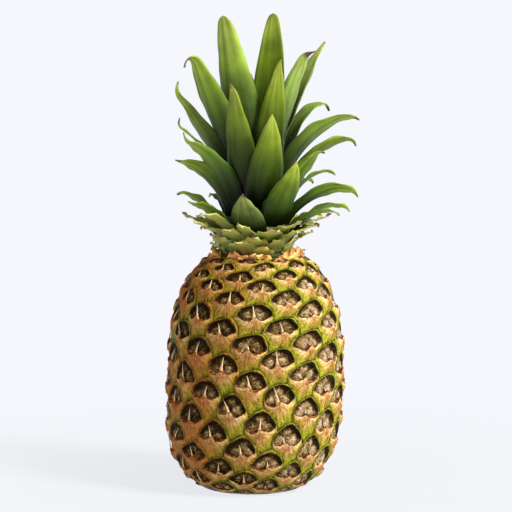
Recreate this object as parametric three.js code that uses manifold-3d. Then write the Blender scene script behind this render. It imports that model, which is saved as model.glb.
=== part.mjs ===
// A whole pineapple standing on its base: the fruit with its spirals of eyes and the dry bracts round its neck,
// the cut stalk under it, the short crown stem with its small scale leaves, and the large crown leaves, each
// on its own. Millimetres, +Z up. The origin is the middle of the flat base, and the front is towards -Y.
import * as THREE from "three";
import { mergeVertices } from "three/addons/utils/BufferGeometryUtils.js";
import Module from "manifold-3d";

const wasm = await Module();
wasm.setup();

const gap = 0.3; // clearance between pieces that touch
const golden = 137.5; // degrees from one scale leaf of the crown to the next one up the spiral

// The fruit: a barrel, widest below the middle, flat underneath and at the neck.
const fruit = {
  radius: 60.2, // of the rind at the widest level, before its relief
  wideLevel: 69,
  topLevel: 162.5, // the neck, where the crown stem stands
  domeLevel: 171, // where the rounded top would close if the neck did not cut it
  bowlLevel: -8.2, // where the rounded bottom would close if the flat base did not cut it
  flatness: 3, // how long the side stays straight before it rounds over
  roundness: 2.3,
  lean: 3.2, // how far the neck stands to the right of the base
  leanLevel: 104, // where it is reached
};

// The eyes follow 8 spirals one way and 11 the other, as counted in the photograph. Each of the 8 is slipped a
// little along itself, as there. The anchor eye sits just above the middle of the front.
const eyes = {
  rise: 1.303, // up the side from one eye to the next in the order of their heights
  across8: -19.078, // degrees round the fruit from an eye to the next one on one of the 8 spirals
  anchorAngle: -93.918, // direction of the anchor eye, degrees from +X
  anchorLevel: 82.9,
  crowding: 1.03, // how strongly the eyes shrink where the fruit narrows
  slip: [0, 0.07, -0.17, -0.48, -0.7, -0.82, -0.73, -0.38], // of each of the 8 spirals along itself, in eyes
  parts: [0, 0.34, 0.5, 0.66], // mesh lines from one eye's centre to the next, closer at the groove
  dome: 2.1, // height of an eye over the groove round it
  hollow: 1.6, // depth of the flower's scar
  lip: 0.8, // height of the bract's swollen base under the scar
  tip: 1.2, // height of the bract's point at the scar's middle
};

const stalk = { radius: 13, height: 7, sides: 28 };

// The crown stem stands on the neck. Heights in the crown are counted from its foot.
const stem = {
  radius: 24,
  height: 62,
  sides: 20,
  rings: 7,
  footLevel: fruit.topLevel + gap,
};

// What a big leaf, a scale leaf and a neck bract have in common is one blade shape, with these proportions.
const leafForm = {
  segments: 7,
  across: 4, // points from margin to margin
  rootDepth: 3, // how far the root starts inside the stem, before it is cut to the stem's face
  thickness: 2.2,
  tipThickness: 1.5,
  channelRadius: 17, // of the gutter that the free leaf folds into
  firstFoot: 7,
  footStep: 1.22,
};

const scaleForm = {
  ...leafForm,
  count: 21,
  segments: 3,
  across: 3,
  rootDepth: 0.3,
  thickness: 1.8,
  channelRadius: 26,
  startAngle: -80,
  firstFoot: 0.6,
  footStep: 0.62,
  firstReach: 28.5,
  reachStep: 1,
  firstRise: 10.5,
  riseStep: 0.98,
  width: 22,
  tip: 12,
  launch: 74,
};

const bractForm = {
  ...leafForm,
  count: 17,
  segments: 2,
  across: 3,
  thickness: 1.6,
  channelRadius: 30,
  footRadius: 29,
  footLevel: -4,
  width: 11.5,
  reach: 31.6,
  rise: 4.2,
  launch: 82,
  tip: 50,
};

const marginShare = 0.42; // a blade's thickness at its margin as a share of its middle's

const colours = { rind: 0x9a7b35, stalk: 0xb59a6a, scale: 0x7d8c3c, leaf: 0x5f8a2b };

// The large leaves, lowest first: direction in degrees (0 right, -90 front), reach and rise of the tip,
// full width, the tip's angle above level, and the roll that turns the blade about its own length.
const leafPlan = [
  { turn: 37, reach: 60, rise: 24, width: 18, tip: -28, roll: 0 },
  { turn: -158, reach: 51, rise: 37, width: 19, tip: -10, roll: -25 },
  { turn: -22, reach: 62, rise: 31, width: 18, tip: -22, roll: 15 },
  { turn: 80, reach: 63, rise: 31, width: 19, tip: -30, roll: 0 },
  { turn: 7, reach: 67, rise: 31, width: 17, tip: -34, roll: 25 },
  { turn: 174, reach: 56, rise: 44, width: 16, tip: 5, roll: -35 },
  { turn: -104, reach: 40, rise: 45, width: 26, tip: 60, roll: 0 },
  { turn: 127, reach: 57, rise: 38, width: 20, tip: -25, roll: 0 },
  { turn: -8, reach: 72, rise: 42, width: 22, tip: -50, roll: 38 },
  { turn: 53, reach: 69, rise: 48, width: 20, tip: -25, roll: 0 },
  { turn: -57, reach: 50, rise: 68, width: 27, tip: 66, roll: 8 },
  { turn: -161, reach: 59, rise: 66, width: 23, tip: -8, roll: -35 },
  { turn: 100, reach: 69, rise: 50, width: 22, tip: -20, roll: 0 },
  { turn: 22, reach: 61, rise: 56, width: 16, tip: -25, roll: 25 },
  { turn: 75, reach: 73, rise: 66, width: 23, tip: -15, roll: 0 },
  { turn: -146, reach: 63, rise: 83, width: 27, tip: 12, roll: -20 },
  { turn: 143, reach: 56, rise: 62, width: 22, tip: -10, roll: 0 },
  { turn: -31, reach: 53, rise: 77, width: 24, tip: 42, roll: 15 },
  { turn: 163, reach: 62, rise: 91, width: 22, tip: 22, roll: -25 },
  { turn: -76, reach: 44, rise: 100, width: 29, tip: 78, roll: 0 },
  { turn: 9, reach: 73, rise: 80, width: 23, tip: -12, roll: 35 },
  { turn: 49, reach: 65, rise: 84, width: 24, tip: 15, roll: 0 },
  { turn: 114, reach: 64, rise: 94, width: 25, tip: 25, roll: 0 },
  { turn: -112, reach: 43, rise: 122, width: 24, tip: 78, roll: -6 },
  { turn: 84, reach: 60, rise: 106, width: 25, tip: 40, roll: 0 },
  { turn: -17, reach: 74, rise: 98, width: 28, tip: -2, roll: 25 },
  { turn: -169, reach: 61, rise: 119, width: 26, tip: 48, roll: -40 },
  { turn: 36, reach: 66, rise: 101, width: 18, tip: -42, roll: -8 },
  { turn: 63, reach: 50, rise: 122, width: 25, tip: 55, roll: 0 },
  { turn: -147, reach: 53, rise: 142, width: 31, tip: 63, roll: -25 },
  { turn: 123, reach: 41, rise: 122, width: 25, tip: 62, roll: 0 },
  { turn: -62, reach: 33, rise: 137, width: 27, tip: 82, roll: 6 },
  { turn: -123, reach: 41, rise: 166, width: 37, tip: 74, roll: -8 },
  { turn: -25, reach: 40, rise: 146, width: 29, tip: 64, roll: 20 },
  { turn: 24, reach: 53, rise: 148, width: 22, tip: 50, roll: -30 },
  { turn: 98, reach: 25, rise: 126, width: 26, tip: 80, roll: 0 },
  { turn: 49, reach: 18, rise: 168, width: 31, tip: 88, roll: -28 },
];

const radians = THREE.MathUtils.degToRad;
const degrees = THREE.MathUtils.radToDeg;
const { clamp, lerp, smoothstep } = THREE.MathUtils;

// Solids
function geometryOf(points, faces) {
  const geometry = new THREE.BufferGeometry();
  geometry.setAttribute("position", new THREE.Float32BufferAttribute(points.flat(), 3));
  geometry.setIndex(faces.flat());
  return geometry;
}

function solidOf(geometry) {
  const bare = geometry.clone();
  bare.deleteAttribute("normal");
  bare.deleteAttribute("uv");
  const merged = mergeVertices(bare, 1e-4);
  const vertProperties = new Float32Array(merged.attributes.position.array);
  const triVerts = new Uint32Array(merged.index.array);
  return new wasm.Manifold(new wasm.Mesh({ numProp: 3, vertProperties, triVerts }));
}

function geometryFrom(solid) {
  const { vertProperties, triVerts } = solid.getMesh();
  const geometry = new THREE.BufferGeometry();
  geometry.setAttribute("position", new THREE.Float32BufferAttribute(vertProperties, 3));
  geometry.setIndex(Array.from(triVerts));
  return geometry;
}

// The largest body of a solid that a cut left in pieces, or the outer skin of one whose blades shut in a pocket.
function largestBody(solid) {
  return solid.decompose().reduce((best, body) => (body.volume() > best.volume() ? body : best));
}

// Radius of the rind at a height, by one rounded curve above the widest level and one below it.
function rindRadius(level) {
  const end = level > fruit.wideLevel ? fruit.domeLevel : fruit.bowlLevel;
  const share = clamp((level - fruit.wideLevel) / (end - fruit.wideLevel), 0, 1);
  return fruit.radius * (1 - share ** fruit.flatness) ** (1 / fruit.roundness);
}

// The side's profile from the flat base to the neck, with the eye count reached at each point.
function sideProfile() {
  const samples = 600;
  const profile = [];
  let count = 0;
  let anchorCount = 0;
  for (let i = 0; i <= samples; i++) {
    const level = (fruit.topLevel * i) / samples;
    const radius = rindRadius(level);
    const last = profile.at(-1);
    if (last) {
      const run = Math.hypot(radius - last.radius, level - last.level);
      count += run / (eyes.rise * (radius / fruit.radius) ** eyes.crowding);
    }
    if (level <= eyes.anchorLevel) anchorCount = count;
    const slope = rindRadius(level - 0.5) - rindRadius(level + 0.5);
    profile.push({ radius, level, count, outward: new THREE.Vector2(1, slope).normalize() });
  }
  profile.forEach((point) => (point.count -= anchorCount));
  return profile;
}

function profileAt(profile, count) {
  let low = 0;
  let high = profile.length - 1;
  while (high - low > 1) {
    const middle = (low + high) >> 1;
    if (profile[middle].count <= count) low = middle;
    else high = middle;
  }
  const share = clamp((count - profile[low].count) / (profile[high].count - profile[low].count), 0, 1);
  return {
    radius: lerp(profile[low].radius, profile[high].radius, share),
    level: lerp(profile[low].level, profile[high].level, share),
    outward: profile[low].outward,
  };
}

// Degrees to the next eye on one of the 11 spirals: 8 steps along it and 11 back along the 8 go once round.
const across11 = (360 + 11 * eyes.across8) / 8;

// How far the 8 spirals are slipped along themselves, in eyes, at the spiral b or between two of them.
function slipAt(b) {
  const low = Math.floor(b);
  const slipOf = (spiral) => eyes.slip[((spiral % 8) + 8) % 8];
  return lerp(slipOf(low), slipOf(low + 1), b - low);
}

// The place of an eye that is a steps along its 8 spiral and b along its 11 spiral, unrolled, in millimetres.
function unrolled(a, b) {
  return new THREE.Vector2(radians(eyes.across8 * a + across11 * b) * fruit.radius, eyes.rise * (8 * a + 11 * b));
}

// Height of the relief at a place near an eye's centre. An eye ends half way to each of its six neighbours.
function eyeRelief(a, b) {
  const place = unrolled(a, b);
  const neighbours = [unrolled(1, 0), unrolled(0, 1), unrolled(1, 1)];
  const edge = Math.max(...neighbours.map((next) => (2 * Math.abs(place.dot(next))) / next.lengthSq()));
  const bump = (width, level, height) => Math.exp(-((place.x / width) ** 2) - ((place.y - level) / height) ** 2);
  const dome = eyes.dome * (1 - Math.min(edge, 1) ** 4);
  return dome - eyes.hollow * bump(9, 1.5, 4.5) + eyes.lip * bump(9, -8, 3) + eyes.tip * bump(2.5, 0, 3);
}

// The fruit's skin as a net whose lines follow the 8 and 11 spirals, closed by a fan at the base and the neck.
function fruitGeometry() {
  const profile = sideProfile();
  const first = profile[0].count;
  const last = profile.at(-1).count;
  const perEye = eyes.parts.length;
  const points = [];
  const faces = [];
  const known = new Map();
  const share = (step) => Math.floor(step / perEye) + eyes.parts[((step % perEye) + perEye) % perEye];
  const countAt = (i, j) => 8 * (share(i) + slipAt(share(j))) + 11 * share(j);

  function vertex(i, j) {
    const turn = Math.floor(j / (8 * perEye));
    const key = `${i + 11 * perEye * turn},${j - 8 * perEye * turn}`;
    if (!known.has(key)) {
      known.set(key, points.length);
      points.push(skinPoint(share(i), share(j)));
    }
    return known.get(key);
  }

  function skinPoint(a, b) {
    const along = a + slipAt(b);
    const at = profileAt(profile, 8 * along + 11 * b);
    // The relief fades out at the flat base and the neck, where the eyes crowd together.
    const fade = smoothstep(at.level, 0, 9) * (1 - smoothstep(at.level, fruit.topLevel - 5, fruit.topLevel));
    const height = (eyeRelief(a - Math.round(a), b - Math.round(b)) * fade * at.radius) / fruit.radius;
    const angle = radians(eyes.anchorAngle + eyes.across8 * along + across11 * b);
    const radius = at.radius + height * at.outward.x;
    return [radius * Math.cos(angle), radius * Math.sin(angle), at.level + height * at.outward.y];
  }

  for (let j = 0; j < 8 * perEye; j++) {
    let i = perEye * Math.floor((first - 11 * share(j)) / 8) - perEye;
    while (countAt(i, j) < first) i++;
    for (; countAt(i + 1, j + 1) <= last; i++) {
      const [low, left, top, right] = [vertex(i, j), vertex(i + 1, j), vertex(i + 1, j + 1), vertex(i, j + 1)];
      faces.push([low, right, top], [low, top, left]);
    }
  }

  // An edge that only one face uses is on a rim. The rim is drawn to its circle and joins the middle of that end.
  const used = new Set(faces.flatMap(([a, b, c]) => [`${a},${b}`, `${b},${c}`, `${c},${a}`]));
  const rim = [...used].map((edge) => edge.split(",").map(Number)).filter(([a, b]) => !used.has(`${b},${a}`));
  const ends = [profile[0], profile.at(-1)].map(({ radius, level }) => {
    return { radius, level, middle: points.push([0, 0, level]) - 1 };
  });
  for (const [a, b] of rim) {
    const end = points[a][2] < fruit.wideLevel ? ends[0] : ends[1];
    faces.push([b, a, end.middle]);
    for (const k of [a, b]) {
      const stretch = end.radius / Math.hypot(points[k][0], points[k][1]);
      points[k] = [points[k][0] * stretch, points[k][1] * stretch, end.level];
    }
  }
  return geometryOf(points, faces);
}

// A solid bent a little to the right on its way up, as the fruit stands.
function leaned(geometry) {
  const place = geometry.attributes.position;
  for (let i = 0; i < place.count; i++)
    place.setX(i, place.getX(i) + fruit.lean * smoothstep(place.getZ(i), 0, fruit.leanLevel));
  return geometry;
}

// The dry bracts that stand round the neck, as a ring of short blades rooted in the rind.
function bractSolids() {
  return Array.from({ length: bractForm.count }, (_, k) => {
    const bract = {
      ...bractForm,
      turn: (360 / bractForm.count) * k + 6 * Math.sin(5 * k),
      start: new THREE.Vector2(bractForm.footRadius - bractForm.rootDepth, bractForm.footLevel),
      reach: bractForm.reach + 1.2 * Math.sin(3 * k),
      rise: bractForm.rise + 1.8 * Math.sin(7 * k),
    };
    return solidOf(bladeGeometry(bract, bractForm).translate(0, 0, fruit.topLevel));
  });
}

function fruitSolid() {
  const socketRadius = stalk.radius + gap;
  const socket = new THREE.CylinderGeometry(socketRadius, socketRadius, 2 * (stalk.height + gap), stalk.sides);
  const bracts = bractSolids().reduce((whole, piece) => whole.add(piece));
  const whole = solidOf(fruitGeometry()).add(bracts).subtract(solidOf(socket.rotateX(Math.PI / 2)));
  return solidOf(leaned(geometryFrom(whole)));
}

function stemRadius(height) {
  return stem.radius * (1 - clamp(height / stem.height, 0, 1) ** 2.2) ** 0.6;
}

function stemGeometry(grow) {
  const outline = [new THREE.Vector2(0, -grow)];
  for (let i = 0; i <= stem.rings; i++) {
    const height = stem.height * Math.sin((Math.PI / 2) * (i / stem.rings));
    const radius = i < stem.rings ? stemRadius(height) + grow : 0;
    outline.push(new THREE.Vector2(radius, i ? height + grow : -grow));
  }
  return new THREE.LatheGeometry(outline, stem.sides).rotateX(Math.PI / 2);
}

// A blade's middle line in the plane through the stem's axis: x is the distance out, y the height.
function midline(leaf) {
  const end = new THREE.Vector2(leaf.reach, leaf.rise);
  const chord = degrees(Math.atan2(end.y - leaf.start.y, end.x - leaf.start.x));
  const launch = radians(leaf.launch ?? clamp(chord + 0.7 * (chord - leaf.tip), 35, 90));
  const third = leaf.start.distanceTo(end) / 3;
  const tip = radians(leaf.tip);
  const first = new THREE.Vector2(Math.cos(launch), Math.sin(launch)).multiplyScalar(third).add(leaf.start);
  const second = new THREE.Vector2(Math.cos(tip), Math.sin(tip)).multiplyScalar(-third).add(end);
  return new THREE.CubicBezierCurve(leaf.start, first, second, end);
}

// Half the width along a blade: full from the foot, then a long taper to a blunt tip.
function halfWidth(leaf, s) {
  const taper = 1 - 0.8 * clamp((s - 0.35) / 0.65, 0, 1) ** 1.6;
  const point = Math.sqrt(1 - s ** 14);
  return Math.max((leaf.width / 2) * taper * point, 0.9);
}

// A leaf as a closed blade. Its section is an arc round the stem near the foot and a gutter further out.
function bladeGeometry(leaf, form, grow = 0) {
  const curve = midline(leaf);
  const { segments, across } = form;
  const points = [];
  const faces = [];
  for (let i = 0; i <= segments; i++) {
    const s = 1 - (1 - i / segments) ** 1.25;
    const at = curve.getPoint(s);
    const way = curve.getTangent(s);
    const turn = radians(leaf.turn);
    const roll = radians((leaf.roll ?? 0) * smoothstep(s, 0.1, 0.8));
    const out = new THREE.Vector3(Math.cos(turn), Math.sin(turn), 0);
    const level = new THREE.Vector3(-Math.sin(turn), Math.cos(turn), 0);
    const upper = out.clone().multiplyScalar(-way.y).setZ(way.x);
    const inward = upper.clone().multiplyScalar(Math.cos(roll)).addScaledVector(level, Math.sin(roll));
    const side = level.clone().multiplyScalar(Math.cos(roll)).addScaledVector(upper, -Math.sin(roll));
    const round = lerp(Math.max(at.x, 8), form.channelRadius, smoothstep(s, 0, 0.4));
    const half = halfWidth(leaf, s) + grow;
    const thick = lerp(form.thickness, form.tipThickness, s) / 2;
    for (let k = 0; k < across; k++) {
      const u = (2 * k) / (across - 1) - 1;
      const bend = clamp((u * half) / round, -1.3, 1.3);
      const middle = out.clone().multiplyScalar(at.x).setZ(at.y);
      middle.addScaledVector(side, round * Math.sin(bend));
      middle.addScaledVector(inward, round * (1 - Math.cos(bend)));
      const face = inward.clone().multiplyScalar(Math.cos(bend)).addScaledVector(side, -Math.sin(bend));
      const offset = thick * lerp(1, marginShare, u * u) + grow;
      points.push(middle.clone().addScaledVector(face, -offset).toArray());
      points.push(middle.addScaledVector(face, offset).toArray());
    }
  }
  const outer = (i, k) => 2 * (i * across + k);
  const inner = (i, k) => outer(i, k) + 1;
  const last = across - 1;
  for (let i = 0; i < segments; i++) {
    for (let k = 0; k < last; k++) {
      faces.push([outer(i, k), outer(i, k + 1), outer(i + 1, k + 1)]);
      faces.push([outer(i, k), outer(i + 1, k + 1), outer(i + 1, k)]);
      faces.push([inner(i, k), inner(i + 1, k + 1), inner(i, k + 1)]);
      faces.push([inner(i, k), inner(i + 1, k), inner(i + 1, k + 1)]);
    }
    faces.push([outer(i, 0), outer(i + 1, 0), inner(i + 1, 0)], [outer(i, 0), inner(i + 1, 0), inner(i, 0)]);
    faces.push([outer(i, last), inner(i + 1, last), outer(i + 1, last)]);
    faces.push([outer(i, last), inner(i, last), inner(i + 1, last)]);
  }
  for (let k = 0; k < last; k++) {
    faces.push([outer(0, k), inner(0, k + 1), outer(0, k + 1)], [outer(0, k), inner(0, k), inner(0, k + 1)]);
    faces.push([outer(segments, k), outer(segments, k + 1), inner(segments, k + 1)]);
    faces.push([outer(segments, k), inner(segments, k + 1), inner(segments, k)]);
  }
  return geometryOf(points, faces);
}

// Where a blade's middle line starts: a little inside the stem, at its foot's height.
function rootOn(foot, form) {
  return new THREE.Vector2(stemRadius(foot) - form.rootDepth, foot);
}

// The small scale leaves round the foot of the stem, by the golden angle.
function scalePlan() {
  return Array.from({ length: scaleForm.count }, (_, k) => ({
    ...scaleForm,
    turn: scaleForm.startAngle + golden * k,
    start: rootOn(scaleForm.firstFoot + scaleForm.footStep * k, scaleForm),
    reach: scaleForm.firstReach + scaleForm.reachStep * k + 2 * Math.sin(4.1 * k),
    rise: scaleForm.firstRise + scaleForm.riseStep * k + 1.5 * Math.sin(2.3 * k),
  }));
}

function stemSolid(grow) {
  const pieces = scalePlan().map((scale) => solidOf(bladeGeometry(scale, scaleForm, grow)));
  return largestBody(pieces.reduce((whole, piece) => whole.add(piece), solidOf(stemGeometry(grow))));
}

function mesh(name, geometry, colour, roughness = 0.6) {
  const piece = new THREE.Mesh(geometry, new THREE.MeshStandardMaterial({ color: colour, roughness, metalness: 0 }));
  piece.name = name;
  return piece;
}

// Assembly
const pineapple = new THREE.Group();
pineapple.add(mesh("fruit", geometryFrom(fruitSolid()), colours.rind));

const stalkGeometry = new THREE.CylinderGeometry(stalk.radius, stalk.radius, stalk.height, stalk.sides);
const stalkStub = mesh("stalk_stub", stalkGeometry.rotateX(Math.PI / 2), colours.stalk, 0.9);
stalkStub.position.z = stalk.height / 2;
pineapple.add(stalkStub);

const crown = new THREE.Group();
crown.position.set(fruit.lean, 0, stem.footLevel);
pineapple.add(crown);
crown.add(mesh("crown_stem", geometryFrom(stemSolid(0)), colours.scale));

// From the innermost leaf outwards, each is cut clear of the stem and of the leaves inside it.
const rooms = [stemSolid(gap)];
for (let i = leafPlan.length - 1; i >= 0; i--) {
  const leaf = { ...leafPlan[i], start: rootOn(leafForm.firstFoot + leafForm.footStep * i, leafForm) };
  const whole = solidOf(bladeGeometry(leaf, leafForm));
  const cut = rooms.reduce((rest, room) => (rest.intersect(room).isEmpty() ? rest : rest.subtract(room)), whole);
  rooms.push(solidOf(bladeGeometry(leaf, leafForm, gap)));
  crown.add(mesh(`leaf_${String(i + 1).padStart(2, "0")}`, geometryFrom(largestBody(cut)), colours.leaf));
}

export default pineapple;
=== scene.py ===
from functools import partial
import bpy
import numpy as np
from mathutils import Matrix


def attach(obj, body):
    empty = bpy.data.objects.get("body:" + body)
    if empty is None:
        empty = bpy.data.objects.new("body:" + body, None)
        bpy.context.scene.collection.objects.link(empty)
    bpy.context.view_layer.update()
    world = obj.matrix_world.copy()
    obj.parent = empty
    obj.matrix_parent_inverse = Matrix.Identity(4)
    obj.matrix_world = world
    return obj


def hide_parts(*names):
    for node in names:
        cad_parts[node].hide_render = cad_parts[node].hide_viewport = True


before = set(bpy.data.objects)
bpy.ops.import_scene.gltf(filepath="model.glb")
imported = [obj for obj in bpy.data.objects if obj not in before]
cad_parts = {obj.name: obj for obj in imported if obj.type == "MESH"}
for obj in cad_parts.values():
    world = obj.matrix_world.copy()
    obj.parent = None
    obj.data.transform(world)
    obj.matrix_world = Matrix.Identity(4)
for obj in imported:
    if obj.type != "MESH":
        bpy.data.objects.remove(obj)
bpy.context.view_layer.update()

golden = 137.5  # degrees from one scale leaf to the next up the spiral
gap = 0.3  # mm, clearance that the CAD keeps between touching pieces


def smoothStep(low, high, x):
    # 0 below low, 1 above high, and three times the share squared less twice its cube between
    share = np.clip((x - low) / (high - low), 0.0, 1.0)
    return share * share * (3.0 - 2.0 * share)


def mix(a, b, share):
    # a with the share of the way to b added
    return a + (b - a) * share


def ripple(points, size, seed, terms=9):
    # soft noise between about -1 and 1: sine waves in random directions, each about one size long, added up and
    # divided by the root of their number
    rng = np.random.default_rng(seed)
    directions = rng.normal(size=(terms, 3))
    directions /= np.linalg.norm(directions, axis=1)[:, None]
    lengths = size * rng.uniform(0.6, 1.6, terms)
    phases = rng.uniform(0.0, 2.0 * np.pi, terms)
    waves = np.sin(points @ (directions / lengths[:, None] * 2.0 * np.pi).T + phases)
    return waves.sum(axis=-1) / np.sqrt(terms)


def linearColour(hexText):
    # an sRGB hex colour as the linear values that a shader takes: by 12.92 near black, else a power of 2.4
    values = np.array([int(hexText[i:i + 2], 16) for i in (1, 3, 5)]) / 255.0
    linear = np.where(values <= 0.04045, values / 12.92, ((values + 0.055) / 1.055) ** 2.4)
    return (*linear.tolist(), 1.0)


inColour = {"data_type": "RGBA", "output": 2}  # makes a Mix one of colours, which leaves by its output 2


def addNode(tree, kind, inputs=(), operation=None, output=0, stops=(), **settings):
    # One node with its settings, its inputs as values, hex colours or links, in order or by name or number, and the
    # (place, hex colour) stops of a ramp. It hands back one output. Of a MapRange inputs 1 and 2 are the range read
    # and 3 and 4 the range given. Of a Mix of colours 6 and 7 are the two colours.
    node = tree.nodes.new("ShaderNode" + kind)
    if operation:
        node.operation = operation
    for name, value in settings.items():
        setattr(node, name, value)
    for key, value in inputs.items() if isinstance(inputs, dict) else enumerate(inputs):
        if isinstance(value, bpy.types.NodeSocket):
            tree.links.new(value, node.inputs[key])
        else:
            node.inputs[key].default_value = linearColour(value) if isinstance(value, str) else value
    for index, (place, colour) in enumerate(stops):
        elements = node.color_ramp.elements
        element = elements[index] if index < 2 else elements.new(place)
        element.position = place
        element.color = linearColour(colour)
    return node.outputs[output] if len(node.outputs) else None


def makePiece(name, points, faces, material, replaced, floats=None, faceFloats=None, uv=None):
    # a mesh piece from points in mm, faces and named attributes, riding on the one body
    mesh = bpy.data.meshes.new(name)
    mesh.from_pydata((points * 0.001).tolist(), [], faces)
    mesh.polygons.foreach_set("use_smooth", [True] * len(mesh.polygons))
    for domain, layers in (("POINT", floats), ("FACE", faceFloats)):
        for key, values in (layers or {}).items():
            mesh.attributes.new(key, "FLOAT", domain).data.foreach_set("value", np.asarray(values, float).ravel())
    if uv is not None:
        mesh.uv_layers.new(name="place").data.foreach_set("uv", np.asarray(uv, float).ravel())
    mesh.materials.append(material)
    mesh.validate()
    mesh.update()
    piece = bpy.data.objects.new(name, mesh)
    bpy.context.collection.objects.link(piece)
    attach(piece, "root")
    if replaced:
        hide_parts(*replaced)


def tubeSides(grid):
    # quads between the rings of a grid of point numbers, closed round its last axis
    after = np.roll(grid, -1, axis=-1)
    sides = [grid[..., :-1, :], after[..., :-1, :], after[..., 1:, :], grid[..., 1:, :]]
    return np.stack(sides, axis=-1).reshape(-1, 4)


fruit = {
    "radius": 60.2, "wideLevel": 69.0, "topLevel": 162.5, "domeLevel": 171.0, "bowlLevel": -8.2,
    "flatness": 3.0, "roundness": 2.3,
    "lean": 3.2,  # how far the neck stands to the right of the base
    "leanLevel": 104.0,
    "socketRadius": 13.3, "socketDepth": 7.3, "socketRim": 18.0, "neckRadius": 20.0,
    "warp": 0.5, "warpSize": 30.0,  # how far the eyes wander from their even places, in waves so long
    "swell": 0.35, "swellSize": 22.0,  # the same for the skin's rise and fall
}
eye = {
    "rise": 1.303,  # up the side from one eye to the next in the order of their heights
    "across8": -19.078,  # degrees from an eye to the next one on one of the 8 spirals
    "anchorAngle": -93.918, "anchorLevel": 82.9, "crowding": 1.03,
    "slip": (0.0, 0.07, -0.17, -0.48, -0.7, -0.82, -0.73, -0.38),  # of each of the 8 spirals along itself
    # an eye's right and left corners, in steps along the 8 and the 11 spiral from its centre
    "rightCorner": (-0.62, 0.03), "leftCorner": (0.14, -0.52),
    "edgeSteps": 8,  # mesh steps along each of its six edges
    "bulges": ((1.5, 0.9), (0.1, 1.2), (-1.5, 0.9)),  # mm, how far the arch's three edges bow outwards
    "insideRings": (0.2, 0.4, 0.58, 0.74, 0.86, 0.94, 1.0),  # to the edge of the flower scar
    "outsideRings": (0.08, 0.22, 0.42, 0.7, 1.0),  # from there to the eye's outline
    "scarHalfWidth": 14.3, "archHeight": 15.0, "archPower": 1.75, "baseLine": -6.8, "lipWidth": 0.6,
    "lobes": ((-4.9, -2.4, 4.6, 3.6, 1.5), (4.7, -2.4, 4.6, 3.6, 1.5), (0.2, 2.2, 4.2, 3.4, 1.1)),
    "sag": 0.8, "peak": 0.5, "peakWidth": 2.6,  # of the scar's lower edge: its sag, and the point in its middle
    "rim": 0.6, "arch": 1.2, "bractEdge": 2.8, "floor": -1.0, "bractLength": 11.5,
    "wrinkle": 0.2, "pitDepth": 0.8, "pitWidth": 1.5, "pitLevel": -1.2, "dryHalfWidth": 12.5,
}
eye["across11"] = (360.0 + 11 * eye["across8"]) / 8


def rindRadius(level):
    # One rounded curve above the widest level and one below it: the radius times the root of one less a power of
    # the share of the way from the widest level to the curve's end.
    end = np.where(level > fruit["wideLevel"], fruit["domeLevel"], fruit["bowlLevel"])
    share = np.clip((level - fruit["wideLevel"]) / (end - fruit["wideLevel"]), 0.0, 1.0)
    return fruit["radius"] * (1.0 - share ** fruit["flatness"]) ** (1.0 / fruit["roundness"])


def sideCourse():
    # the side from base to neck, with the number of eyes passed: arc length over the local rise, which shrinks
    # with the radius
    level = np.linspace(0.0, fruit["topLevel"], 3001)
    radius = rindRadius(level)
    run = np.hypot(np.diff(radius), np.diff(level))
    middle = 0.5 * (radius[1:] + radius[:-1])
    rise = eye["rise"] * (middle / fruit["radius"]) ** eye["crowding"]
    count = np.concatenate([[0.0], np.cumsum(run / rise)])
    slope = rindRadius(level - 0.5) - rindRadius(level + 0.5)
    size = np.hypot(1.0, slope)
    return {
        "level": level, "radius": radius, "count": count - np.interp(eye["anchorLevel"], level, count),
        "outward": 1.0 / size, "upward": slope / size,
    }


course = sideCourse()


def leaned(points):
    # moved to the right by the lean, smoothly from none at the base
    points = points.copy()
    points[..., 0] += fruit["lean"] * smoothStep(0.0, fruit["leanLevel"], points[..., 2])
    return points


def flatPlace(a, b):
    # the place a steps along the 8 spiral and b along the 11 spiral, unrolled, in mm at the widest level
    along = a + np.interp(np.mod(b, 8.0), np.arange(9), [*eye["slip"], eye["slip"][0]])
    turn = np.radians(eye["across8"] * along + eye["across11"] * b)
    return np.stack([turn * fruit["radius"], eye["rise"] * (8 * along + 11 * b)], axis=-1)


def levelOf(flat):
    # the level over the base where as many eyes are passed as at an unrolled place
    return np.interp(flat[..., 1] / eye["rise"], course["count"], course["level"])


def rindPoint(flat, height):
    # The point over an unrolled place: out and up along the side's normal by the height, scaled with the local
    # radius. Soft noise lifts and shifts it, less so at the base and the neck.
    level = levelOf(flat)
    radius = np.interp(level, course["level"], course["radius"])
    fade = smoothStep(0.0, 7.0, level) * (1.0 - smoothStep(fruit["topLevel"] - 4.0, fruit["topLevel"], level))
    angle = np.radians(eye["anchorAngle"]) + flat[..., 0] / fruit["radius"]
    bare = np.stack([radius * np.cos(angle), radius * np.sin(angle), level], -1)
    swell = fruit["swell"] * ripple(bare, fruit["swellSize"], 41)
    lift = (height + swell) * fade * radius / fruit["radius"]
    angle = angle + np.radians(fruit["warp"] * fade * ripple(bare, fruit["warpSize"], 42))
    out = radius + lift * np.interp(level, course["level"], course["outward"])
    up = level + lift * np.interp(level, course["level"], course["upward"])
    up = up + fruit["warp"] * fade * ripple(bare, fruit["warpSize"], 43)
    return leaned(np.stack([out * np.cos(angle), out * np.sin(angle), up], -1))


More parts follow.
